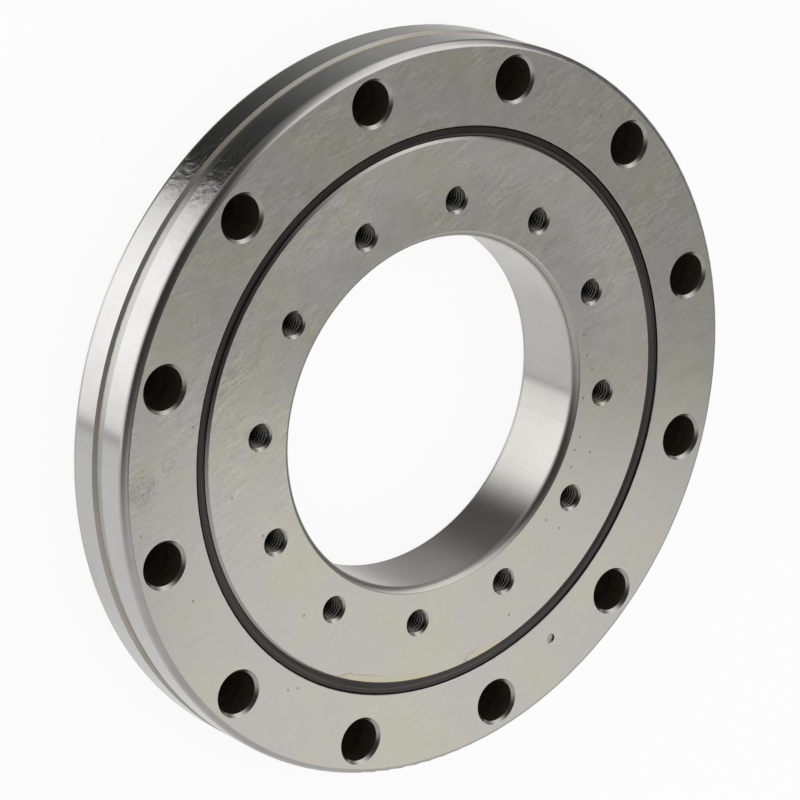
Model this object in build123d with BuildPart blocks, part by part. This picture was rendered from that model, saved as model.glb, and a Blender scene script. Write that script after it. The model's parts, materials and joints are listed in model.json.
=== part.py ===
from build123d import *
import math
import os

# A crossed roller bearing with mounting holes in both rings. It lies on its
# back face, with its axis on +Z and the counterbored front face on top.
# All sizes are in millimetres, and angles are in degrees about +Z.

# Radial sizes, from the bore outwards
bore_diameter = 115.0
inner_bolt_inset = 12.0     # bore wall to the tapped holes' circle
inner_bolt_to_pitch = 19.5  # tapped holes' circle to the rollers' pitch circle
pitch_to_outer_bolt = 19.5  # rollers' pitch circle to the mounting holes' circle
outer_bolt_inset = 11.5     # mounting holes' circle to the outside

# Rollers, alternately crossed at right angles
roller_diameter = 14.0
roller_length = 13.5
roller_corner = 0.6         # rounded edge of each roller end
race_clearance = 0.1        # roller side, or a longer roller's end, to raceway flank

# Raceways, 90 degree V grooves
race_overrun = 2.0          # flank edge above the roller's reach, along the axis
relief_width = 1.6          # grinding relief at the bottom of each V
split_gap = 0.5             # inner ring's outside to outer ring's inside

# Spacers, one moulded saddle between each two rollers
spacer_web = 1.2            # thickness between its two saddles
spacer_to_race = 0.45       # round rim to the raceway flank
spacer_reach = 3.6          # middle of the web to each horn's flat tip
saddle_cut = 28.0           # length of the cutter that shapes each saddle

# Seals, one in each face of the outer ring
seal_shelf = 1.8            # land between the raceway edge and the seal seat
seal_thickness = 2.8
seal_recess = 0.4           # seal below the ring's face
seal_seat_step = 3.0        # seat wall outside the land
seal_setback = 0.6          # seal foot's inner wall outside the land
seal_bevel = 0.4            # inner edge of the seal's face
seal_edge_bevel = 0.5       # outer edge of the seal's face, beside the seat wall
seal_fit = 0.02             # radial slack of the pressed seal in its seat
lip_clearance = 0.15        # lip tip to the inner ring's outside
lip_drop = 0.7              # lip tip below the seal's outer face
lip_thickness = 0.4
lip_root = 0.8              # lip thickness where it leaves the foot

# Ring edges
edge_on_face = 2.0          # crowned edges of the outside and of the bore, along the face
edge_on_wall = 2.7          # the same edges along the wall, which runs into their arc
inner_rim_chamfer = 0.8     # inner ring's edge beside the seal
seat_edge_chamfer = 0.2

# Oil groove round the outside, with holes down to the raceway
groove_width = 5.2
groove_depth = 1.0
oil_hole_diameter = 2.5
oil_hole_count = 2

# Counterbored mounting holes in the outer ring
outer_bolt_count = 12
bolt_hole_diameter = 9.0
bolt_hole_chamfer = 0.5     # at the back face
counterbore_diameter = 14.0
counterbore_depth = 8.6
counterbore_chamfer = 1.0

# Tapped holes through the inner ring, at the thread's major diameter
inner_bolt_count = 12
thread_diameter = 8.0
thread_chamfer = 0.55
inner_turn = 10.15          # inner ring's holes, turned from the outer ring's

# Loading plug, where the rollers were put in, and its taper pin
plug_clearance = 0.2        # plug radius over the roller radius
plug_fit = 0.02
pin_diameter = 3.2          # at its large end
pin_taper = 1 / 50
pin_wall = 0.56             # bottom of the raceway to the pin hole
pin_recess = 0.6            # pin end below the front face
pin_run_past = 2.0          # pin beyond the plug
pin_fit = 0.01

# Worked out from the sizes above
bore_radius = bore_diameter / 2
inner_bolt_radius = bore_radius + inner_bolt_inset
pitch_radius = inner_bolt_radius + inner_bolt_to_pitch
outer_bolt_radius = pitch_radius + pitch_to_outer_bolt
outside_radius = outer_bolt_radius + outer_bolt_inset

roller_radius = roller_diameter / 2
least_half_step = math.asin((roller_radius + spacer_web / 2) / pitch_radius)
roller_count = 2 * math.floor(math.pi / least_half_step / 2)
roller_step = 360 / roller_count
roller_chord = 2 * pitch_radius * math.sin(math.pi / roller_count)
saddle_radius = (roller_chord - spacer_web) / 2

roller_reach = max(roller_radius, roller_length / 2)
race_distance = roller_reach + race_clearance
race_apex = race_distance * math.sqrt(2)
race_half_height = roller_reach + race_overrun
outer_land_radius = pitch_radius + race_apex - race_half_height
inner_rim_radius = outer_land_radius - split_gap
inner_race_height = inner_rim_radius - pitch_radius + race_apex

seat_radius = outer_land_radius + seal_seat_step
seat_height = race_half_height + seal_shelf
seal_top = seat_height + seal_thickness
half_width = seal_top + seal_recess
width = 2 * half_width

bolt_step = 360 / outer_bolt_count
plug_angle = -1.5 * bolt_step
oil_hole_angle = 2.5 * bolt_step
plug_radius = roller_radius + plug_clearance
pin_radius = pin_diameter / 2
pin_circle_radius = pitch_radius + race_apex + pin_wall + pin_radius
pin_length = half_width - pin_recess + plug_radius + pin_run_past
pin_tip_radius = pin_radius - pin_length * pin_taper / 2

front = Plane.XY.offset(width)
middle = Plane.XY.offset(half_width)
back = Plane(origin=(0, 0, 0), x_dir=(1, 0, 0), z_dir=(0, 0, -1))
section_plane = Plane(origin=(0, 0, half_width), x_dir=(1, 0, 0), z_dir=(0, -1, 0))


def outward(angle):
    """The direction away from the axis at an angle."""
    turn = math.radians(angle)
    return Vector(math.cos(turn), math.sin(turn), 0)


def around(radius, angle, height=half_width):
    """A point on a circle about the bearing's axis, in the mid-plane if no height is given."""
    return outward(angle) * radius + Vector(0, 0, height)


def radial_plane(radius, angle):
    """A plane in the rings' wall that faces outwards."""
    return Plane(origin=around(radius, angle), x_dir=(0, 0, 1), z_dir=outward(angle))


def roller_plane(number):
    """The middle of a roller, square to its axis. Neighbours lean opposite ways."""
    angle = (number + 0.5) * roller_step
    lean = Vector(0, 0, -1) if number % 2 == 0 else Vector(0, 0, 1)
    return Plane(origin=around(pitch_radius, angle), z_dir=outward(angle) + lean)


def spacer_plane(number):
    """Midway between a roller and the next, facing along the pitch circle."""
    angle = (number + 1) * roller_step
    return Plane(origin=around(pitch_radius, angle), x_dir=(0, 0, 1), z_dir=outward(angle + 90))


pin_plane = Plane(origin=around(pin_circle_radius, plug_angle, width - pin_recess))
pin_from_top = (Align.CENTER, Align.CENTER, Align.MAX)
recess_from_pin = (Align.CENTER, Align.CENTER, Align.MIN)


def write(builder, name):
    """Label a finished piece and write its file."""
    builder.part.label = name
    export_step(builder.part, f"parts/{name}.step")


os.makedirs("parts", exist_ok=True)

# Outer ring's section, drawn above the mid-plane and mirrored below it
with BuildSketch(section_plane) as outer_section:
    with BuildLine():
        Polyline(
            (pitch_radius + race_apex, 0),
            (pitch_radius + race_apex, relief_width / 2),
            (pitch_radius + race_apex - relief_width / 2, relief_width / 2),
            (outer_land_radius, race_half_height),
            (outer_land_radius, seat_height),
            (seat_radius, seat_height),
            (seat_radius, half_width - seat_edge_chamfer),
            (seat_radius + seat_edge_chamfer, half_width),
            (outside_radius - edge_on_face, half_width),
        )
        TangentArc(
            (outside_radius, half_width - edge_on_wall),
            (outside_radius - edge_on_face, half_width),
            tangent=(0, 1),
        )
        Polyline(
            (outside_radius, half_width - edge_on_wall),
            (outside_radius, groove_width / 2),
            (outside_radius - groove_depth, groove_width / 2 - groove_depth),
            (outside_radius - groove_depth, 0),
        )
        mirror(about=Plane.XZ)
    make_face()

# Outer ring, with its mounting, oil, loading and pin holes
with BuildPart() as outer_ring:
    revolve(outer_section.sketch, axis=Axis.Z)
    with Locations(front):
        with PolarLocations(outer_bolt_radius, outer_bolt_count):
            Hole(bolt_hole_diameter / 2)
            CounterSinkHole(
                radius=counterbore_diameter / 2,
                counter_sink_radius=counterbore_diameter / 2 + counterbore_chamfer,
                depth=counterbore_depth,
                counter_sink_angle=90,
            )
    with Locations(back):
        with PolarLocations(outer_bolt_radius, outer_bolt_count):
            CounterSinkHole(
                radius=bolt_hole_diameter / 2,
                counter_sink_radius=bolt_hole_diameter / 2 + bolt_hole_chamfer,
                depth=half_width / 2,
                counter_sink_angle=90,
            )
    for oil_hole in range(oil_hole_count):
        oil_angle = oil_hole_angle + oil_hole * 360 / oil_hole_count
        with BuildSketch(radial_plane(pitch_radius, oil_angle)):
            Circle(oil_hole_diameter / 2)
        extrude(amount=outside_radius - pitch_radius, mode=Mode.SUBTRACT)
    with BuildSketch(radial_plane(pitch_radius, plug_angle)):
        Circle(plug_radius + plug_fit)
    extrude(amount=outside_radius - pitch_radius, mode=Mode.SUBTRACT)
    with Locations(pin_plane):
        Cone(
            pin_tip_radius + pin_fit,
            pin_radius + pin_fit,
            pin_length,
            align=pin_from_top,
            mode=Mode.SUBTRACT,
        )
        Cylinder(pin_radius + pin_fit, pin_recess, align=recess_from_pin, mode=Mode.SUBTRACT)
write(outer_ring, "outer_ring")

# Loading plug, cut from the same section, so that it carries raceway and groove
with BuildPart() as loading_plug:
    revolve(outer_section.sketch, axis=Axis.Z)
    with BuildSketch(radial_plane(pitch_radius, plug_angle)):
        Circle(plug_radius)
    extrude(amount=outside_radius - pitch_radius, mode=Mode.INTERSECT)
    with Locations(pin_plane):
        Cone(
            pin_tip_radius + pin_fit,
            pin_radius + pin_fit,
            pin_length,
            align=pin_from_top,
            mode=Mode.SUBTRACT,
        )
write(loading_plug, "loading_plug")

# Taper pin that holds the plug
with BuildPart() as plug_pin:
    with Locations(pin_plane):
        Cone(pin_tip_radius, pin_radius, pin_length, align=pin_from_top)
write(plug_pin, "plug_pin")

# Inner ring's section, mirrored in the same way
with BuildSketch(section_plane) as inner_section:
    with BuildLine():
        Polyline(
            (pitch_radius - race_apex, 0),
            (pitch_radius - race_apex, relief_width / 2),
            (pitch_radius - race_apex + relief_width / 2, relief_width / 2),
            (inner_rim_radius, inner_race_height),
            (inner_rim_radius, half_width - inner_rim_chamfer),
            (inner_rim_radius - inner_rim_chamfer, half_width),
            (bore_radius + edge_on_face, half_width),
        )
        TangentArc(
            (bore_radius, half_width - edge_on_wall),
            (bore_radius + edge_on_face, half_width),
            tangent=(0, 1),
        )
        Line((bore_radius, half_width - edge_on_wall), (bore_radius, 0))
        mirror(about=Plane.XZ)
    make_face()

# Inner ring, with holes tapped right through and countersunk at both faces
with BuildPart() as inner_ring:
    revolve(inner_section.sketch, axis=Axis.Z)
    for face, turn in ((front, inner_turn), (back, -inner_turn)):
        with Locations(face):
            with PolarLocations(inner_bolt_radius, inner_bolt_count, start_angle=turn):
                CounterSinkHole(
                    radius=thread_diameter / 2,
                    counter_sink_radius=thread_diameter / 2 + thread_chamfer,
                    depth=half_width + relief_width,
                    counter_sink_angle=90,
                )
write(inner_ring, "inner_ring")

# Front seal: a foot pressed into its seat, and a lip that leans to the inner ring
foot_radius = outer_land_radius + seal_setback
tip_radius = inner_rim_radius + lip_clearance
tip_height = seal_top - lip_drop
with BuildPart() as front_seal:
    with BuildSketch(section_plane):
        with BuildLine():
            Polyline(
                (seat_radius - seal_fit, seat_height),
                (seat_radius - seal_fit, seal_top - seal_edge_bevel),
                (seat_radius - seal_fit - seal_edge_bevel, seal_top),
                (foot_radius + seal_bevel, seal_top),
                (foot_radius, seal_top - seal_bevel),
                (tip_radius, tip_height),
                (tip_radius, tip_height - lip_thickness),
                (foot_radius, seal_top - seal_bevel - lip_root),
                (foot_radius, seat_height),
                close=True,
            )
        make_face()
    revolve(axis=Axis.Z)
write(front_seal, "front_seal")

# Back seal, the front one turned over
with BuildPart() as back_seal:
    mirror(front_seal.part, about=middle)
write(back_seal, "back_seal")

# Rollers, each a plain cylinder with rounded ends
for number in range(roller_count):
    with BuildPart(roller_plane(number)) as roller:
        Cylinder(roller_radius, roller_length)
        fillet(roller.edges().filter_by(GeomType.CIRCLE), roller_corner)
    write(roller, f"roller_{number + 1:02d}")

# Spacers: round blanks with two saddles, crossed as their two rollers are
with BuildPart() as spacers:
    with Locations(*[spacer_plane(number) for number in range(roller_count)]):
        Cylinder(race_distance - spacer_to_race, 2 * spacer_reach)
    with Locations(*[roller_plane(number) for number in range(roller_count)]):
        Cylinder(saddle_radius, saddle_cut, mode=Mode.SUBTRACT)
write(spacers, "spacers")
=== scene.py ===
import json
import math

import bpy
from mathutils import Matrix, Vector


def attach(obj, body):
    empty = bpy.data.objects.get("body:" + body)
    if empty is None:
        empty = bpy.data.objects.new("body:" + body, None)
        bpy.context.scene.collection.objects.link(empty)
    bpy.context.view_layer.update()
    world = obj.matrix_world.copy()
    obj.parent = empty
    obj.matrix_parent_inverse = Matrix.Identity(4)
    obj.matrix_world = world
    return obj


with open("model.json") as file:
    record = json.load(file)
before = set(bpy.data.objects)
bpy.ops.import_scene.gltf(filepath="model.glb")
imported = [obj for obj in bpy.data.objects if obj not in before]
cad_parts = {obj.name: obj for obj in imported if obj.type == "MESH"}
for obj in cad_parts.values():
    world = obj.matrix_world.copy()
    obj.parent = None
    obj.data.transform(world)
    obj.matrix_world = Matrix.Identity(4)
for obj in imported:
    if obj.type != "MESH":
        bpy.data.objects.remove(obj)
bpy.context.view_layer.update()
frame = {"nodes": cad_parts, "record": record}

# A crossed roller bearing that lies on its back face. Places are in metres in
# the part's own frame, and the values below that end in _mm are millimetres.
MM = 0.001

# Sizes that the part's record states
mounts = {mount["name"]: mount for mount in frame["record"]["mounts"]}
width_mm = round(mounts["inner_front_face"]["pos_m"][2] / MM, 6)
outside_radius_mm = mounts["outside"]["dims"]["r_mm"]
bore_radius_mm = mounts["bore"]["dims"]["r_mm"]
outer_bolt_radius_mm = mounts["outer_bolts"]["dims"]["pcd_mm"] / 2
inner_bolt_radius_mm = mounts["inner_bolts"]["dims"]["pcd_mm"] / 2
bolt_count = mounts["inner_bolts"]["dims"]["count"]

# Other forms of the solids, for telling their surfaces apart
inner_turn = math.radians(10.15)
groove_depth_mm = 1.0
pin_place_mm = Vector((71.34, -71.34))
edge_on_face_mm = 2.0
edge_on_wall_mm = 2.7
edge_arc_mm = (edge_on_face_mm ** 2 + edge_on_wall_mm ** 2) / (2 * edge_on_face_mm)

# How near to a form a surface lies that belongs to it: below a face, beside a
# wall, and from the axis of a hole
face_depth_mm = 0.05
mouth_depth_mm = 1.1
edge_slack_mm = 0.01
wall_slack_mm = 0.3
counterbore_reach_mm = 8.2
tapped_reach_mm = 4.7
pin_reach_mm = 1.9
crest_reach_mm = 3.5

# Where the holes lie, as radii of the rings
outer_holes_from_mm = 95.0
inner_holes_mm = (60.0, 80.0)

# How far the normal of each kind of surface leans towards the axis, from 0 on
# walls to 1 on faces
face_lean = 0.99
mouth_lean = 0.3
wall_lean = 0.1
groove_lean = (0.5, 0.9)

# Thread of the tapped holes, M8 with the standard pitch
thread_pitch_mm = 1.25
thread_root_mm = 4.04
thread_crest_mm = 3.33
thread_mouth_mm = 4.62
thread_end_gap_mm = 0.03
thread_steps = 28

# Smooth conical mouth of each tapped hole, below the countersink that the ring
# has. Its foot runs out where the thread's groove leaves the hole.
cone_mouth_mm = 4.56
cone_top_mm = 4.02
cone_foot_mm = 3.42
cone_runout_mm = 0.50
cone_wall_mm = 0.1
runout_turn = math.radians(40)
cone_steps = 40

# The studio that polished steel mirrors, as brightness where 1 is white, at
# bearings in degrees from +X towards +Y: the high and the low part of its
# walls, which are alike from the left side on, and the table below them, near
# the part and farther off
walls_from_left = (
    (155, 0.03), (190, 0.03), (207, 0.12), (226, 0.36), (242, 0.50), (270, 0.45), (300, 0.48),
    (325, 0.52), (340, 0.31), (360, 0.255),
)
high_walls_by_bearing = (
    (0, 0.255), (12, 0.20), (20, 0.20), (28, 0.42), (36, 0.85), (44, 1.06), (55, 1.08), (66, 1.0),
    (78, 0.88), (90, 0.74), (98, 0.58), (107, 0.30), (115, 0.17), (127, 0.05), *walls_from_left,
)
low_walls_by_bearing = (
    (0, 0.255), (8, 0.18), (14, 0.12), (20, 0.11), (34, 0.11), (40, 0.14), (48, 0.22), (58, 0.56),
    (70, 0.98), (82, 0.98), (92, 0.62), (103, 0.34), (119, 0.12), (130, 0.05), *walls_from_left,
)
table_by_bearing = (
    (0, 0.62), (17, 0.48), (36, 0.33), (56, 0.26), (77, 0.13), (88, 0.08), (100, 0.045),
    (120, 0.02), (125, 0.04), (131, 0.30), (141, 0.80), (152, 1.0), (165, 1.1), (185, 1.08),
    (205, 0.90), (211, 0.82), (212, 0.30), (214, 0.30), (215.5, 0.58), (270, 0.59), (300, 0.66),
    (330, 0.72), (360, 0.62),
)
far_table_by_bearing = (
    (0, 0.62), (17, 0.49), (36, 0.38), (56, 0.31), (77, 0.26), (88, 0.19), (100, 0.125),
    (120, 0.10), (128, 0.12), (135, 0.24), (143, 0.56), (152, 0.90), (165, 1.02), (185, 1.0),
    (205, 0.86), (211, 0.80), (212, 0.30), (214, 0.30), (215.5, 0.58), (270, 0.60), (300, 0.66),
    (330, 0.66), (360, 0.62),
)

# In each pair of limits from here on, what it is about is gone at the first
# limit and full at the second, and goes smoothly from one to the other.

# Rises of a direction, from -1 straight down to 1 straight up, at which the far
# table, the walls, their high part and the ceiling set in
far_table_rise = (-0.755, -0.735)
walls_rise = (-0.60, 0.05)
high_walls_rise = (0.22, 0.58)
ceiling_rise = (0.87, 0.97)
ceiling_brightness = 0.04

# A darker strip across the table on the right: where it begins and ends, as
# bearings in whole turns, the rises over which it grows, and how dark it is
strip_begins = (14 / 360, 28 / 360)
strip_ends = (72 / 360, 52 / 360)
strip_rise = (-0.70, -0.45)
strip_darkness = 0.7

# The even light on surfaces that mirror little
even_light = 0.62

# The floor: how much of what the camera sees there is plain white, how bright
# its paint is, half its width, and how far inside the part's outlines it is
# dark to mirrored rays, a painted shade under the part
floor_whiteness = 0.90
floor_brightness = 0.9
floor_half_width = 4.0
floor_shade_margin_mm = 5.0

# A soft box that the front face mirrors, and a broad light from above
softbox_place = (0.50, -0.25, 0.528)
softbox_target = (0.50, -0.25, 0.0)
softbox_size = (0.44, 0.30)
softbox_turn = math.radians(3)
softbox_radiance = 0.56
top_light_place = (-0.3, 0.1, 1.4)
top_light_target = (0.0, 0.0, 0.0)
top_light_size = (0.8, 0.8)
top_light_radiance = 2.0

# Radii at which the inner ring's face ends and the outer ring's begins, on the
# two sides of the seal
inner_face_ends_mm = (91.0, 90.5)
outer_face_begins_mm = (91.0, 92.0)

# Radii at which the darker foot of the inner ring's rim, beside the seal, begins and
# ends, and how dark it is, and the radii at which the seal's paler lip begins, and how
# far towards the upper left its paleness, which is painted light, fades
rim_foot_mm = (89.60, 89.85)
rim_foot_ends_mm = (91.5, 91.0)
rim_foot_darkness = 0.85
seal_lip_mm = (91.40, 91.20)
lip_painted_light_fades_mm = (40.0, 0.0)

# Where the outside carries a wrinkled oil film, in radians, and how thick it is
oily_arc_start = (2.38, 2.50)
oily_arc_end = (2.74, 2.62)
oily_depth_mm = 0.16

# Depths below the nearer face at which the thread is darkest and brightest, a painted shade, with oil, that
# deepens down the hole
thread_shade_mm = (9.0, 2.5)

# Grinding marks of the faces: their angle in degrees, and their waves a
# millimetre along and across them. The hairs also have the limits between
# which a noise turns into them.
lay_marks = (38, 0.11, 0.75)
crossing_marks = (62, 0.10, 0.9)
hair_marks = (
    ((30, 0.05, 2.0), (0.60, 0.74)),
    ((19, 0.045, 1.9), (0.62, 0.76)),
    ((48, 0.05, 1.8), (0.64, 0.78)),
)

# How strongly each kind of mark lightens or darkens a face
lay_strength = 0.50
crossing_strength = 0.34
grain_strength = 0.40
hair_strength = 0.16
blotch_strength = 0.14
speck_strength = 0.5
scratch_strength = 0.4

# Colours of the ground faces: the steel in patches and blotches, under the
# film, under the pools of oil, and bare in its scratches
patch_colours = ((0.605, 0.586, 0.552), (0.618, 0.594, 0.512))
blotch_colour = (0.630, 0.592, 0.545)
film_colour = (0.600, 0.585, 0.455)
oil_colour = (0.640, 0.590, 0.420)
bare_colour = (0.95, 0.94, 0.90)

# Colours of heat scale, rubber and plastic. On the flat floors in the holes the scale has a darker colour,
# which is painted shade.
scale_colours = ((0.036, 0.029, 0.020), (0.050, 0.041, 0.032))
shaded_flat_scale_colour = (0.012, 0.009, 0.006)
rubber_colours = ((0.011, 0.009, 0.007), (0.016, 0.013, 0.010))
dust_colour = (0.30, 0.29, 0.26)
# Paler colour of the seal's lip, which is painted light on its lit lower right
lit_lip_colour = (0.042, 0.039, 0.034)
plastic_colours = ((0.78, 0.73, 0.58), (0.86, 0.83, 0.70))

# How strongly the rubber shines on its walls, its faces and its paler lip
wall_gloss = 0.12
face_gloss = 0.58
lip_gloss = 0.72

# The way across the part along which the painted light on the face's marks and on the seal's lip changes,
# to the left and mostly upwards
upper_left_way = (-0.4, 0.9)

# How far towards the upper left the grinding marks get clear, which is painted light
# of marks that catch the light there, how clear they are at the least, and the angles
# in radians beyond which the marks on the outer ring's left side are fainter, and by how much
painted_mark_light_mm = (-40.0, 35.0)
faintest_marks = 0.15
left_side = (2.2, 2.6)
left_fainter_marks = 0.3

# A painted highlight: a lighter band round the upper half of the inner ring's face,
# with the angles in radians where it begins and ends, the radii over which it
# grows, and how strong it is
band_begins = (0.1, 0.7)
band_ends = (3.0, 2.4)
band_grows_mm = (64.0, 82.0)
band_highlight_strength = 0.22

# Marks on the front face: scratches, with their ends and half their width
face_scratches_mm = (
    ((-114.7, 27.1), (-84.0, 38.0), 0.22),
    ((-83.0, 30.5), (-57.0, 48.5), 0.25),
    ((-70.0, 74.0), (-38.0, 88.0), 0.25),
    ((-100.0, 48.0), (-72.0, 66.0), 0.25),
    ((-30.0, 66.0), (-8.0, 82.0), 0.25),
    ((38.0, 58.0), (66.0, 66.0), 0.25),
)

# Pools of oil beside the seal: where they begin, are full, thin out and end, in
# radians, and how wide they are in millimetres. Then the radius that they start
# from, how far their outline wanders, how soft it is and how dark.
oil_pools = (
    (-1.185, -1.12, -1.05, -0.82, 4.0),
    (-1.80, -1.70, -1.40, -1.18, 3.6),
)
oil_from_mm = 90.2
oil_wander_mm = 3.0
oil_softness_mm = (-0.3, 0.5)
oil_outline_darkness = 0.22
oil_cover = 0.75

# A dried patch and a small ring on the outer ring's left: their places, their
# radii (hollow, crest and outline of the ring) and how dark they are
dried_place_mm = (-108.7, -32.0)
dried_radii_mm = (4.0, 7.0)
dried_darkness = 0.06
granule_darkness = 0.34
stain_ring_place_mm = (-101.2, -23.0)
stain_ring_radii_mm = (1.2, 2.2, 2.9)
stain_ring_darkness = 0.10

# Small dark and light spots, full within their first radius and gone at their
# second, as the dried patch is
dark_specks_mm = (
    (54.3, 30.6), (57.7, 24.1), (61.4, 19.7), (60.4, 9.9), (63.2, -3.1), (62.4, -7.6), (62.4, -13.3),
    (57.0, -31.7), (63.5, -34.0), (50.7, -64.3), (69.2, -7.8), (-95.0, -10.7), (-74.1, -31.7),
    (-105.3, -45.7), (-80.2, -64.9), (-58.7, -43.0), (-34.8, -92.2), (-31.0, -91.5), (-35.2, -67.9),
)
dark_speck_radii_mm = (0.15, 0.65)
light_specks_mm = (
    (-103.7, 23.1), (-103.4, 21.6), (-102.7, 20.1), (-101.6, 17.8), (-97.9, 21.3),
    (-40.1, 44.6), (-42.5, 84.2), (24.3, 61.6), (2.0, 93.5),
)
light_speck_radii_mm = (0.1, 0.5)

# The photograph's camera
camera_place = Vector((-0.852714, 0.198979, 0.976515))
camera_right = Vector((0.75359, 0.22297, 0.61837))
camera_up = Vector((-0.07084, 0.96278, -0.26083))
camera_lens_mm = 184.06
camera_sensor_mm = 36.0
camera_range = (0.05, 50.0)


def grey(level):
    return (level, level, level)


class Graph:
    """The nodes of one material or of the world."""

    def __init__(self, owner):
        owner.use_nodes = True
        self.tree = owner.node_tree
        self.tree.nodes.clear()

    def add(self, kind, inputs=None, **settings):
        made = self.tree.nodes.new("ShaderNode" + kind)
        for name, value in settings.items():
            setattr(made, name, value)
        for name, value in (inputs or {}).items():
            self.put(made.inputs[name], value)
        return made

    def put(self, socket, value):
        """Links a socket to another one, or gives it a value, where colours need no fourth number."""
        if isinstance(value, bpy.types.NodeSocket):
            self.tree.links.new(value, socket)
        elif socket.type == "RGBA":
            socket.default_value = (*value, 1)
        else:
            socket.default_value = value

    def math(self, operation, first, second=0.0):
        made = self.add("Math", operation=operation)
        self.put(made.inputs[0], first)
        self.put(made.inputs[1], second)
        return made.outputs[0]

    def plus(self, first, second):
        return self.math("ADD", first, second)

    def minus(self, first, second):
        return self.math("SUBTRACT", first, second)

    def times(self, first, second):
        return self.math("MULTIPLY", first, second)

    def raised(self, base, value, reach):
        """A base that another value raises, by reach times that value."""
        return self.plus(base, self.times(value, reach))

    def swing(self, noise, reach):
        """A noise that swings about 0, by half the reach to each side."""
        return self.times(self.minus(noise, 0.5), reach)

    def largest(self, values):
        found = values[0]
        for value in values[1:]:
            found = self.math("MAXIMUM", found, value)
        return found

    def ramp(self, value, low, high, start=0.0, end=1.0):
        """A smooth step from start to end while value goes from low to high."""
        made = self.add(
            "MapRange",
            {"Value": value, "From Min": low, "From Max": high, "To Min": start, "To Max": end},
            interpolation_type="SMOOTHSTEP",
        )
        return made.outputs["Result"]

    def mix(self, factor, first, second):
        """A blend of two colours."""
        made = self.add("Mix", data_type="RGBA")
        for socket, value in ((0, factor), (6, first), (7, second)):
            self.put(made.inputs[socket], value)
        return made.outputs[2]

    def mix_shaders(self, factor, first, second):
        made = self.add("MixShader", {"Fac": factor})
        self.put(made.inputs[1], first)
        self.put(made.inputs[2], second)
        return made.outputs[0]

    def noise(self, place, scale, detail=2.0, roughness=0.5):
        made = self.add(
            "TexNoise",
            {"Vector": place, "Scale": scale, "Detail": detail, "Roughness": roughness},
        )
        return made.outputs["Fac"]

    def separate(self, vector):
        made = self.add("SeparateXYZ", {"Vector": vector})
        return tuple(made.outputs)

    def combine(self, x=0.0, y=0.0, z=0.0):
        made = self.add("CombineXYZ", {"X": x, "Y": y, "Z": z})
        return made.outputs[0]

    def vectors(self, operation, first, second):
        """A sum, a difference or the like of two vectors."""
        made = self.add("VectorMath", operation=operation)
        self.put(made.inputs[0], first)
        self.put(made.inputs[1], second)
        return made

    def scaled(self, vector, factor):
        made = self.add("VectorMath", operation="SCALE")
        self.put(made.inputs[0], vector)
        self.put(made.inputs["Scale"], factor)
        return made.outputs[0]

    def place_mm(self):
        """The point on the piece, in millimetres, which turns with the piece."""
        return self.scaled(self.add("TexCoord").outputs["Object"], 1 / MM)

    def around(self, place):
        """Distance and angle of a point about the part's axis, and its height."""
        x, y, height = self.separate(place)
        squares = self.plus(self.times(x, x), self.times(y, y))
        return self.math("SQRT", squares), self.math("ARCTAN2", y, x), height

    def upper_left(self, place):
        """How far a point lies towards the photograph's upper left, in about millimetres."""
        x, y, _ = self.separate(place)
        return self.plus(self.times(x, upper_left_way[0]), self.times(y, upper_left_way[1]))

    def flatness(self):
        """How far a surface faces along the axis: 1 on faces, 0 on walls."""
        _, _, along = self.separate(self.add("TexCoord").outputs["Normal"])
        return self.math("ABSOLUTE", along)

    def is_mirrored(self):
        """1 for rays that a glossy or clear surface sent on, and 0 for others."""
        path = self.add("LightPath").outputs
        return self.math("MAXIMUM", path["Is Glossy Ray"], path["Is Transmission Ray"])

    def crown_normal(self, place, circle_radius):
        """The normal of a crowned edge, from its place, with the arc's centre on a circle."""
        radius, turn, height = self.around(place)
        off_middle = self.minus(height, width_mm / 2)
        rise = self.minus(self.math("ABSOLUTE", off_middle), width_mm / 2 - edge_on_wall_mm)
        up = self.times(rise, self.math("SIGN", off_middle))
        out = self.minus(radius, circle_radius)
        x = self.times(out, self.math("COSINE", turn))
        y = self.times(out, self.math("SINE", turn))
        turned = self.add(
            "VectorTransform", {"Vector": self.combine(x, y, up)},
            vector_type="NORMAL", convert_from="OBJECT", convert_to="WORLD",
        )
        return turned.outputs[0]

    def warped(self, place, scale, reach):
        """The place, pushed about by a soft noise."""
        push = self.add("TexNoise", {"Vector": place, "Scale": scale, "Detail": 2.0})
        centred = self.vectors("SUBTRACT", push.outputs["Color"], grey(0.5))
        return self.vectors("ADD", place, self.scaled(centred.outputs[0], reach)).outputs[0]

    def lengthwise(self, place, angle, along, across):
        """Places for long marks at one angle, in waves a millimetre along and across them."""
        turned = self.add("Mapping", {"Vector": place, "Rotation": (0, 0, math.radians(-angle))})
        stretched = self.add("Mapping", {"Vector": turned.outputs[0], "Scale": (along, across, 1)})
        return stretched.outputs[0]

    def spot(self, place, centre, inner, outer):
        """1 within the inner radius of a point of the front face, and 0 beyond the outer one."""
        gap = self.vectors("DISTANCE", place, (*centre, width_mm))
        return self.ramp(gap.outputs["Value"], inner, outer, 1.0, 0.0)

    def spots(self, place, centres, inner, outer):
        """Several spots of one size."""
        return self.largest([self.spot(place, centre, inner, outer) for centre in centres])

    def scratch(self, place, start, end, half_width):
        """1 on the middle of a straight scratch, and 0 at its sides and ends."""
        run = Vector(end) - Vector(start)
        middle = (Vector(end) + Vector(start)) / 2
        moved = self.vectors("SUBTRACT", place, (middle.x, middle.y, 0.0))
        angle = math.degrees(math.atan2(run.y, run.x))
        x, y, _ = self.separate(self.lengthwise(moved.outputs[0], angle, 1.0, 1.0))
        ends = self.ramp(self.math("ABSOLUTE", x), run.length * 0.35, run.length * 0.5, 1.0, 0.0)
        return self.times(ends, self.ramp(self.math("ABSOLUTE", y), 0.0, half_width, 1.0, 0.0))


def new_material(name):
    """A material, and the graph of its nodes."""
    material = bpy.data.materials.new(name)
    return material, Graph(material)


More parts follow.
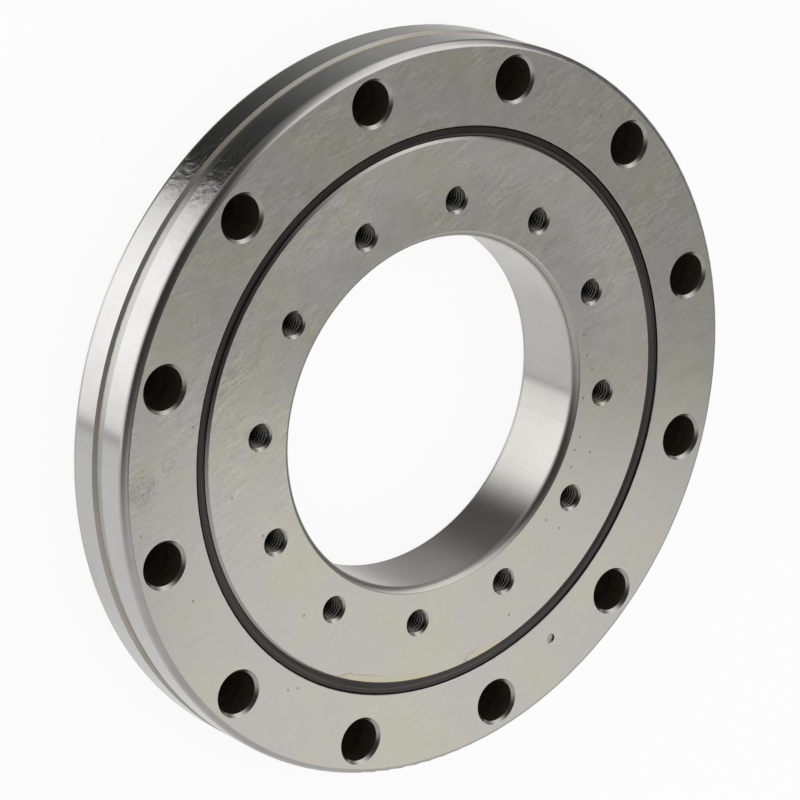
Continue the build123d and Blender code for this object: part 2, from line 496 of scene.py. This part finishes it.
def finish_surface(graph, colour, roughness, height, bump_mm, metallic=1.0, gloss=0.5, normal=None):
    """Joins colour, roughness and bump to the output. The gloss is for surfaces that aren't metal."""
    bump = graph.add("Bump", {"Height": height, "Distance": bump_mm * MM, "Strength": 1.0})
    if normal is not None:
        graph.put(bump.inputs["Normal"], normal)
    shader = graph.add("BsdfPrincipled", {
        "Base Color": colour,
        "Metallic": metallic,
        "Roughness": roughness,
        "Specular IOR Level": gloss,
        "Normal": bump.outputs[0],
    })
    graph.add("OutputMaterial", {"Surface": shader.outputs[0]})


def face_wear_and_painted_light(g, place, radius, turn):
    """How clearly a ground face shows its marks: most at the upper left, which is painted light, fainter on
    the outer ring's left side, and in random patches.
    """
    painted_light_and_wear = g.ramp(g.upper_left(place), *painted_mark_light_mm, faintest_marks, 1.0)
    outer = g.ramp(radius, *outer_face_begins_mm)
    left = g.ramp(g.math("ABSOLUTE", turn), *left_side)
    painted_light_and_wear = g.times(painted_light_and_wear, g.minus(1.0, g.times(g.times(outer, left), left_fainter_marks)))
    return g.times(painted_light_and_wear, g.ramp(g.noise(place, 0.06, 2.0), 0.38, 0.62, 0.45, 1.4))


def face_hairs(g, place):
    """Fine long scratches, close together, at a few angles."""
    found = []
    for marks, limits in hair_marks:
        found.append(g.ramp(g.noise(g.lengthwise(place, *marks), 1.0, 2.0), *limits))
    return g.largest(found)


def painted_highlight_band(g, radius, turn, on_inner):
    """A painted highlight: the lighter band round the upper half of the inner ring's face."""
    arc = g.times(g.ramp(turn, *band_begins), g.ramp(turn, *band_ends))
    return g.times(arc, g.times(g.ramp(radius, *band_grows_mm, 0.3, 1.0), on_inner))


def dried_stains(g, place):
    """How much a grainy dried patch and a small ring darken the face."""
    granules = g.ramp(g.noise(place, 1.9, 2.0, 0.7), 0.50, 0.62)
    patch = g.spot(g.warped(place, 0.25, 4.0), dried_place_mm, *dried_radii_mm)
    patch = g.times(patch, g.raised(dried_darkness, granules, granule_darkness))
    hollow, crest, outline = stain_ring_radii_mm
    ring_place = g.warped(place, 0.3, 1.5)
    whole = g.spot(ring_place, stain_ring_place_mm, crest, outline)
    ring = g.minus(whole, g.spot(ring_place, stain_ring_place_mm, hollow, crest))
    return g.raised(patch, ring, stain_ring_darkness)


def oil_film(g, place, radius, turn):
    """The pools of oil beside the seal, and the outlines of their thick ends."""
    wander = g.swing(g.noise(place, 0.35, 4.0, 0.6), oil_wander_mm)
    pools, outlines = [], []
    for begins, full, thins, ends, reach in oil_pools:
        swell = g.times(g.ramp(turn, begins, full), g.ramp(turn, ends, thins))
        edge = g.minus(oil_from_mm, g.times(swell, reach))
        beyond = g.minus(g.plus(radius, wander), edge)
        inside = g.times(g.ramp(beyond, *oil_softness_mm), swell)
        outline = g.times(g.times(inside, g.minus(1.0, inside)), 4.0)
        pools.append(inside)
        outlines.append(g.times(outline, g.ramp(turn, thins, full)))
    return g.largest(pools), g.largest(outlines)


def light_marks(g, place, grain):
    """How strongly scratches, which the grain breaks up, and light spots show."""
    scratches = g.largest([g.scratch(place, *scratch) for scratch in face_scratches_mm])
    scratches = g.times(scratches, g.ramp(grain, 0.35, 0.55))
    specks = g.spots(place, light_specks_mm, *light_speck_radii_mm)
    return g.plus(g.times(scratches, scratch_strength), g.times(specks, speck_strength))


def face_steel():
    """Ground face: a curved lay with crossing marks, an oil film in clouds, stains and specks, with painted
    light that makes the marks clearer towards the upper left, and a painted highlight band on the inner
    ring.
    """
    material, g = new_material("face_steel")
    place = g.place_mm()
    radius, turn, _ = g.around(place)
    on_inner = g.ramp(radius, *inner_face_ends_mm)
    sway = g.warped(place, 0.035, 7.0)
    lay = g.noise(g.lengthwise(sway, *lay_marks), 1.0, 3.0, 0.6)
    crossing = g.noise(g.lengthwise(sway, *crossing_marks), 1.0, 3.0, 0.6)
    grain = g.noise(place, 0.9, 4.0, 0.65)
    patches = g.noise(place, 0.034, 3.0, 0.6)
    blotches = g.noise(sway, 0.15, 4.0, 0.6)
    specks = g.spots(g.warped(place, 0.9, 0.5), dark_specks_mm, *dark_speck_radii_mm)
    painted_light_and_wear = face_wear_and_painted_light(g, place, radius, turn)
    oil, oil_outline = oil_film(g, place, radius, turn)

    shade = g.swing(lay, lay_strength)
    shade = g.plus(shade, g.swing(crossing, crossing_strength))
    shade = g.plus(shade, g.swing(grain, grain_strength))
    shade = g.raised(shade, face_hairs(g, place), hair_strength)
    # Painted light: the marks show clearer towards the upper left, as if they caught the light there
    shade = g.times(shade, painted_light_and_wear)
    shade = g.plus(shade, g.swing(blotches, blotch_strength))
    # Painted highlight: the lighter band on the inner ring's upper half
    shade = g.raised(shade, painted_highlight_band(g, radius, turn, on_inner), band_highlight_strength)
    shade = g.minus(shade, dried_stains(g, place))
    shade = g.minus(shade, g.times(specks, speck_strength))
    shade = g.minus(shade, g.times(g.times(oil_outline, on_inner), oil_outline_darkness))

    # The olive film follows the same mask of painted light and wear, so it grows towards the upper left
    film = g.times(g.ramp(blotches, 0.47, 0.28), g.times(painted_light_and_wear, 0.7))
    oiled = g.times(g.times(oil, on_inner), oil_cover)
    colour = g.mix(g.ramp(patches, 0.42, 0.60), *patch_colours)
    colour = g.mix(g.ramp(blotches, 0.55, 0.75, 0.0, 0.5), colour, blotch_colour)
    colour = g.mix(film, colour, film_colour)
    colour = g.mix(oiled, colour, oil_colour)
    colour = g.scaled(colour, g.plus(1.0, shade))
    colour = g.mix(light_marks(g, place, grain), colour, bare_colour)

    rough = g.raised(0.17, blotches, 0.10)
    relief = g.raised(g.times(lay, 0.7), grain, 0.35)
    finish_surface(g, colour, rough, relief, bump_mm=0.004, metallic=0.82)
    return material


def round_steel(
    name, base, tint, roughness, lines, bump_mm, sweep=0.0, oily=False, foot=False, metallic=1.0, crown=None
):
    """Steel ground or turned on the round, with fine lines along its circles, lines to a millimetre.

    The sweep is how much its brightness wavers round the circle. An oily one
    has a wrinkled film over a short arc of its upper left. One with a foot is
    darker on the low side of the inner ring's rim, beside the seal. The crown
    of a crowned edge is the radius of the circle that its arc has its centre on.
    """
    material, g = new_material(name)
    place = g.place_mm()
    distance, turn, height = g.around(place)
    line_place = g.combine(g.times(distance, lines), g.times(turn, 3.0), g.times(height, lines))
    fine = g.noise(line_place, 1.0, 3.0, 0.65)
    clouds = g.noise(place, 0.05, 3.0, 0.6)
    colour = g.mix(g.ramp(clouds, 0.42, 0.68), base, tint)
    if sweep:
        round_place = g.combine(g.times(turn, 60.0), g.times(height, 0.07))
        waver = g.minus(g.noise(round_place, 1.0, 4.0, 0.6), 0.5)
        colour = g.scaled(colour, g.raised(1.0, waver, sweep))
    if foot:
        # Darker at the foot of the inner ring's rim, beside the seal
        darker_foot = g.times(g.ramp(distance, *rim_foot_mm), g.ramp(distance, *rim_foot_ends_mm))
        colour = g.scaled(colour, g.minus(1.0, g.times(darker_foot, rim_foot_darkness)))
    if oily:
        arc = g.times(g.ramp(turn, *oily_arc_start), g.ramp(turn, *oily_arc_end))
        film = g.noise(g.warped(place, 0.2, 5.0), 0.24, 3.0, 0.55)
        fine = g.raised(fine, g.times(film, arc), oily_depth_mm / bump_mm)
    rough = g.raised(roughness - 0.03, clouds, 0.06)
    normal = None if crown is None else g.crown_normal(place, crown)
    finish_surface(g, colour, rough, fine, bump_mm, metallic, normal=normal)
    return material


def scale_black():
    """Dark heat scale and oil in the holes, which aren't ground, darker still on their flat floors as
    painted shade.
    """
    material, g = new_material("scale_black")
    spots = g.noise(g.place_mm(), 0.5, 4.0, 0.6)
    colour = g.mix(g.ramp(spots, 0.40, 0.72), *scale_colours)
    # Painted shade: the flat floors in the holes are darker than the walls
    colour = g.mix(g.flatness(), colour, shaded_flat_scale_colour)
    rough = g.raised(0.40, spots, 0.2)
    finish_surface(g, colour, rough, spots, bump_mm=0.02, metallic=0.0, gloss=0.2)
    return material


def thread_steel(name, dark, light, metallic=1.0):
    """Cut thread flanks or crests, oily, and the darker the deeper they lie, partly from oil and partly as
    painted shade.
    """
    material, g = new_material(name)
    place = g.place_mm()
    stains = g.noise(place, 0.5, 3.0, 0.6)
    _, _, height = g.separate(place)
    middle = width_mm / 2
    off_middle = g.math("ABSOLUTE", g.minus(height, middle))
    # Painted shade, with oil: the thread darkens with depth below the nearer face
    painted_light_near_face = g.ramp(off_middle, *(middle - depth for depth in thread_shade_mm))
    colour = g.mix(g.ramp(stains, 0.35, 0.7), dark, light)
    colour = g.scaled(colour, g.raised(0.15, painted_light_near_face, 0.85))
    rough = g.raised(0.22, stains, 0.12)
    finish_surface(g, colour, rough, stains, bump_mm=0.01, metallic=metallic)
    return material


def seal_rubber():
    """Moulded nitrile rubber, near black, with a soft sheen, dust, grease and a glossier lip, whose paler
    colour is painted light that fades towards the upper left.
    """
    material, g = new_material("seal_rubber")
    place = g.place_mm()
    radius, _, _ = g.around(place)
    cloth = g.noise(place, 1.6, 3.0, 0.6)
    smear = g.noise(place, 0.12, 3.0, 0.6)
    dust = g.ramp(g.noise(place, 1.1, 2.0, 0.7), 0.76, 0.82)
    # Painted light: the lip is paler on the lower right and fades towards the upper left
    lip_and_painted_light = g.times(g.ramp(radius, *seal_lip_mm), g.ramp(g.upper_left(place), *lip_painted_light_fades_mm))
    colour = g.mix(g.ramp(smear, 0.35, 0.7), *rubber_colours)
    colour = g.mix(g.times(dust, 0.4), colour, dust_colour)
    colour = g.mix(lip_and_painted_light, colour, lit_lip_colour)
    rough = g.raised(0.22, smear, 0.12)
    gloss = g.ramp(g.flatness(), 0.90, 0.97, wall_gloss, face_gloss)
    gloss = g.largest([gloss, g.times(lip_and_painted_light, lip_gloss)])
    finish_surface(g, colour, rough, cloth, bump_mm=0.004, metallic=0.0, gloss=gloss)
    return material


def spacer_plastic():
    """Moulded spacer plastic with faint flow marks."""
    material, g = new_material("spacer_plastic")
    flow = g.noise(g.place_mm(), 0.4, 3.0, 0.6)
    colour = g.mix(flow, *plastic_colours)
    rough = g.raised(0.42, flow, 0.15)
    finish_surface(g, colour, rough, flow, bump_mm=0.02, metallic=0.0)
    return material


def hole_distance(point, circle_radius, first_angle):
    """Distance from a point to the axis of the nearest hole of a ring of holes."""
    step = 2 * math.pi / bolt_count
    angle = math.atan2(point.y, point.x) - first_angle
    nearest = first_angle + round(angle / step) * step
    axis = Vector((math.cos(nearest), math.sin(nearest))) * circle_radius
    return (point.xy - axis).length


def zone(point, normal):
    """Which finish a ring's surface has, from a place in millimetres and its normal."""
    radius = point.xy.length
    depth = min(point.z, width_mm - point.z)
    lean = abs(normal.z)
    if lean > face_lean and depth < face_depth_mm:
        return "face"
    if depth < edge_on_wall_mm:
        if radius > outside_radius_mm - edge_on_face_mm - edge_slack_mm:
            return "edge"
        if radius < bore_radius_mm + edge_on_face_mm + edge_slack_mm:
            return "bore_edge"
    if (point.xy - pin_place_mm).length < pin_reach_mm and lean <= face_lean:
        return "scale"
    at_mouth = depth < mouth_depth_mm and lean > mouth_lean
    if radius > outer_holes_from_mm:
        if hole_distance(point, outer_bolt_radius_mm, 0.0) < counterbore_reach_mm:
            return "turned" if at_mouth else "scale"
    if inner_holes_mm[0] < radius < inner_holes_mm[1]:
        if hole_distance(point, inner_bolt_radius_mm, inner_turn) < tapped_reach_mm:
            return "turned" if at_mouth else "thread"
    if lean < wall_lean and radius > outside_radius_mm - wall_slack_mm:
        return "outside"
    if groove_lean[0] < lean < groove_lean[1] and radius > outside_radius_mm - groove_depth_mm:
        return "groove"
    if lean < wall_lean and radius < bore_radius_mm + wall_slack_mm:
        return "bore"
    return "turned"


def dress_ring(piece, finishes):
    """Gives each face of a ring the finish of its zone."""
    names = list(finishes)
    piece.data.materials.clear()
    for name in names:
        piece.data.materials.append(finishes[name])
    for polygon in piece.data.polygons:
        polygon.material_index = names.index(zone(polygon.center / MM, polygon.normal))


def dress_plain(piece, material):
    piece.data.materials.clear()
    piece.data.materials.append(material)


def beside_hole(centre, radius, angle, height):
    """A point round a hole's axis, in metres."""
    return (
        (centre.x + radius * math.cos(angle)) * MM,
        (centre.y + radius * math.sin(angle)) * MM,
        height * MM,
    )


def thread_ridge(centre):
    """The ridge of one tapped hole: a trapezoid section wound up the hole."""
    half_base = thread_pitch_mm * 7 / 16
    half_crest = thread_pitch_mm / 8
    section = (
        (thread_root_mm, -half_base),
        (thread_crest_mm, -half_crest),
        (thread_crest_mm, half_crest),
        (thread_root_mm, half_base),
    )
    turns = width_mm / thread_pitch_mm
    count = round(turns * thread_steps)
    points = []
    for step in range(count + 1):
        angle = 2 * math.pi * step / thread_steps
        middle = thread_pitch_mm * step / thread_steps
        for radius, rise in section:
            height = min(max(middle + rise, thread_end_gap_mm), width_mm - thread_end_gap_mm)
            depth = min(height, width_mm - height)
            reach = max(radius, thread_mouth_mm - depth)
            points.append(beside_hole(centre, reach, angle, height))
    sides = len(section)
    faces = [tuple(reversed(range(sides))), tuple(count * sides + i for i in range(sides))]
    for step in range(count):
        low, high = step * sides, (step + 1) * sides
        for side in range(sides):
            after = (side + 1) % sides
            faces.append((low + side, low + after, high + after, high + side))
    return points, faces


def mouth_cone(centre, face_height, inwards):
    """A ring with a conical front, which narrows a hole from its countersink to the thread's crest.

    The way inwards is 1 from the back face and -1 from the front face.
    """
    points, faces = [], []
    for step in range(cone_steps):
        angle = 2 * math.pi * step / cone_steps
        foot = cone_foot_mm + cone_runout_mm * (0.5 + 0.5 * math.cos(angle - runout_turn))
        section = (
            (cone_top_mm, cone_mouth_mm - cone_top_mm),
            (foot, cone_mouth_mm - foot),
            (cone_top_mm, cone_mouth_mm - foot + cone_wall_mm),
        )
        for radius, depth in section:
            points.append(beside_hole(centre, radius, angle, face_height + inwards * depth))
    sides = len(section)
    for step in range(cone_steps):
        here, there = step * sides, (step + 1) % cone_steps * sides
        for side in range(sides):
            after = (side + 1) % sides
            corners = (here + side, there + side, there + after, here + after)
            faces.append(corners if inwards < 0 else tuple(reversed(corners)))
    return points, faces


def inner_piece(name, parts, materials):
    """One piece of the inner ring, from the points and faces of its parts."""
    points, faces = [], []
    for more, sides in parts:
        start = len(points)
        points += more
        faces += [tuple(start + corner for corner in side) for side in sides]
    mesh = bpy.data.meshes.new(name)
    mesh.from_pydata(points, [], faces)
    mesh.update()
    piece = bpy.data.objects.new(name, mesh)
    bpy.context.scene.collection.objects.link(piece)
    for material in materials:
        mesh.materials.append(material)
    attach(piece, "inner")
    return piece


def tapped_holes(flank, crest, mouth):
    """The threads of all the inner ring's holes, and the conical mouths at both faces."""
    ridges, mouths = [], []
    for hole in range(bolt_count):
        angle = inner_turn + hole * 2 * math.pi / bolt_count
        centre = Vector((math.cos(angle), math.sin(angle))) * inner_bolt_radius_mm
        ridges.append(thread_ridge(centre))
        mouths.append(mouth_cone(centre, width_mm, -1))
        mouths.append(mouth_cone(centre, 0.0, 1))
    threads = inner_piece("tapped_threads", ridges, (flank, crest))
    for polygon in threads.data.polygons:
        off_axis = hole_distance(polygon.center / MM, inner_bolt_radius_mm, inner_turn)
        polygon.material_index = int(off_axis < crest_reach_mm)
    inner_piece("thread_mouths", mouths, (mouth,))


def make_camera():
    data = bpy.data.cameras.new("camera")
    data.lens = camera_lens_mm
    data.sensor_width = camera_sensor_mm
    data.clip_start, data.clip_end = camera_range
    camera = bpy.data.objects.new("camera", data)
    bpy.context.scene.collection.objects.link(camera)
    back = camera_right.cross(camera_up)
    turn = Matrix((camera_right, camera_up, back)).transposed()
    camera.matrix_world = Matrix.Translation(camera_place) @ turn.to_4x4()
    bpy.context.scene.camera = camera


def area_light(name, place, target, size, radiance):
    """A soft box of width and height size that faces target."""
    data = bpy.data.lights.new(name, "AREA")
    data.shape = "RECTANGLE"
    data.size, data.size_y = size
    data.energy = radiance * math.pi * size[0] * size[1]
    light = bpy.data.objects.new(name, data)
    bpy.context.scene.collection.objects.link(light)
    light.location = place
    light.rotation_euler = (Vector(target) - Vector(place)).to_track_quat("-Z", "Y").to_euler()
    light.visible_camera = False
    return light


def make_lights():
    softbox = area_light("face_softbox", softbox_place, softbox_target, softbox_size, softbox_radiance)
    softbox.rotation_euler.z += softbox_turn
    top_light = area_light(
        "top_light", top_light_place, top_light_target, top_light_size, top_light_radiance
    )
    top_light.visible_glossy = False


def make_floor():
    """A plain pale floor that keeps a soft shadow of the part.

    Mirrored rays pass through it to the studio, but not under the part, where it is black to them as
    painted shade.
    """
    material, g = new_material("floor")
    pale = g.add("BsdfDiffuse", {"Color": grey(floor_brightness)})
    white = g.add("Emission", {"Color": grey(1), "Strength": 1.0})
    seen = g.times(g.add("LightPath").outputs["Is Camera Ray"], floor_whiteness)
    lit = g.mix_shaders(seen, pale.outputs[0], white.outputs[0])
    radius, _, _ = g.around(g.place_mm())
    # Painted shade: black to mirrored rays under the part
    under = g.times(
        g.math("GREATER_THAN", radius, bore_radius_mm + floor_shade_margin_mm),
        g.math("LESS_THAN", radius, outside_radius_mm - floor_shade_margin_mm),
    )
    clear = g.add("BsdfTransparent")
    dark = g.add("BsdfDiffuse", {"Color": grey(0)})
    clear_with_painted_shade = g.mix_shaders(under, clear.outputs[0], dark.outputs[0])
    whole = g.mix_shaders(g.is_mirrored(), lit, clear_with_painted_shade)
    g.add("OutputMaterial", {"Surface": whole})
    half = floor_half_width
    mesh = bpy.data.meshes.new("floor")
    corners = [(-half, -half, 0), (half, -half, 0), (half, half, 0), (-half, half, 0)]
    mesh.from_pydata(corners, [], [(0, 1, 2, 3)])
    mesh.materials.append(material)
    floor = bpy.data.objects.new("floor", mesh)
    bpy.context.scene.collection.objects.link(floor)


def brightness_by_bearing(graph, turn, stops):
    """A brightness that runs through its stops while a direction turns about the upright axis."""
    made = graph.add("ValToRGB", {"Fac": turn})
    elements = made.color_ramp.elements
    while len(elements) > 1:
        elements.remove(elements[-1])
    for number, (bearing, brightness) in enumerate(stops):
        place = bearing / 360
        element = elements[0] if number == 0 else elements.new(place)
        element.position = place
        element.color = (*grey(brightness), 1)
    return made.outputs["Color"]


def make_world():
    """White to the camera, even light for plain surfaces, and a studio for polished ones."""
    world = bpy.data.worlds.new("studio")
    bpy.context.scene.world = world
    g = Graph(world)
    x, y, rise = g.separate(g.add("TexCoord").outputs["Generated"])
    turn = g.math("FRACT", g.plus(g.math("DIVIDE", g.math("ARCTAN2", y, x), 2 * math.pi), 1.0))
    near_table = brightness_by_bearing(g, turn, table_by_bearing)
    far_table = brightness_by_bearing(g, turn, far_table_by_bearing)
    low_walls = brightness_by_bearing(g, turn, low_walls_by_bearing)
    high_walls = brightness_by_bearing(g, turn, high_walls_by_bearing)
    table = g.mix(g.ramp(rise, *far_table_rise), near_table, far_table)
    strip = g.times(g.ramp(turn, *strip_begins), g.ramp(turn, *strip_ends))
    strip = g.times(strip, g.ramp(rise, *strip_rise, 0.0, strip_darkness))
    table = g.scaled(table, g.minus(1.0, strip))
    walls = g.mix(g.ramp(rise, *high_walls_rise), low_walls, high_walls)
    walls = g.mix(g.ramp(rise, *ceiling_rise), walls, grey(ceiling_brightness))
    studio = g.mix(g.ramp(rise, *walls_rise), table, walls)
    lighting = g.mix(g.is_mirrored(), grey(even_light), studio)
    colour = g.mix(g.add("LightPath").outputs["Is Camera Ray"], lighting, grey(1))
    background = g.add("Background", {"Color": colour, "Strength": 1.0})
    g.add("OutputWorld", {"Surface": background.outputs[0]})


bpy.context.scene.view_settings.view_transform = "Standard"

finishes = {
    "face": face_steel(),
    "outside": round_steel(
        "outside_steel", base=(0.80, 0.795, 0.785), tint=(0.76, 0.75, 0.72),
        roughness=0.12, lines=5.0, bump_mm=0.0006, sweep=0.10, oily=True,
    ),
    "bore": round_steel(
        "bore_steel", base=(0.76, 0.74, 0.71), tint=(0.72, 0.695, 0.655),
        roughness=0.16, lines=4.0, bump_mm=0.0006, sweep=0.12,
    ),
    "groove": round_steel(
        "groove_steel", base=(0.66, 0.62, 0.55), tint=(0.60, 0.55, 0.47),
        roughness=0.42, lines=4.0, bump_mm=0.003, metallic=0.82,
    ),
    "edge": round_steel(
        "edge_steel", base=(0.70, 0.69, 0.67), tint=(0.66, 0.64, 0.60),
        roughness=0.24, lines=3.0, bump_mm=0.004, sweep=0.10, crown=outside_radius_mm - edge_arc_mm,
    ),
    "bore_edge": round_steel(
        "bore_edge_steel", base=(0.66, 0.645, 0.60), tint=(0.63, 0.61, 0.55),
        roughness=0.30, lines=3.0, bump_mm=0.004, sweep=0.10, crown=bore_radius_mm + edge_arc_mm,
    ),
    "turned": round_steel(
        "turned_steel", base=(0.62, 0.61, 0.58), tint=(0.58, 0.56, 0.50),
        roughness=0.22, lines=4.0, bump_mm=0.003, foot=True,
    ),
    "scale": scale_black(),
    "thread": thread_steel("thread_root_steel", dark=(0.09, 0.08, 0.065), light=(0.15, 0.135, 0.11)),
}
for node in ("outer_ring", "inner_ring", "loading_plug"):
    dress_ring(frame["nodes"][node], finishes)

pin_end = round_steel(
    "pin_end_steel", base=(0.52, 0.505, 0.47), tint=(0.36, 0.345, 0.31),
    roughness=0.34, lines=4.0, bump_mm=0.006, metallic=0.9,
)
dress_plain(frame["nodes"]["plug_pin"], pin_end)

rubber = seal_rubber()
for node in ("front_seal", "back_seal"):
    dress_plain(frame["nodes"][node], rubber)

dress_plain(frame["nodes"]["spacers"], spacer_plastic())
lapped = round_steel(
    "lapped_steel", base=(0.74, 0.74, 0.73), tint=(0.70, 0.70, 0.69),
    roughness=0.12, lines=6.0, bump_mm=0.0004,
)
for node, piece in frame["nodes"].items():
    if node.startswith("roller_"):
        dress_plain(piece, lapped)

crest = thread_steel("thread_crest_steel", dark=(0.80, 0.77, 0.70), light=(0.88, 0.85, 0.80), metallic=0.4)
tapped_holes(finishes["thread"], crest, finishes["turned"])
make_floor()
make_world()
make_lights()
make_camera()
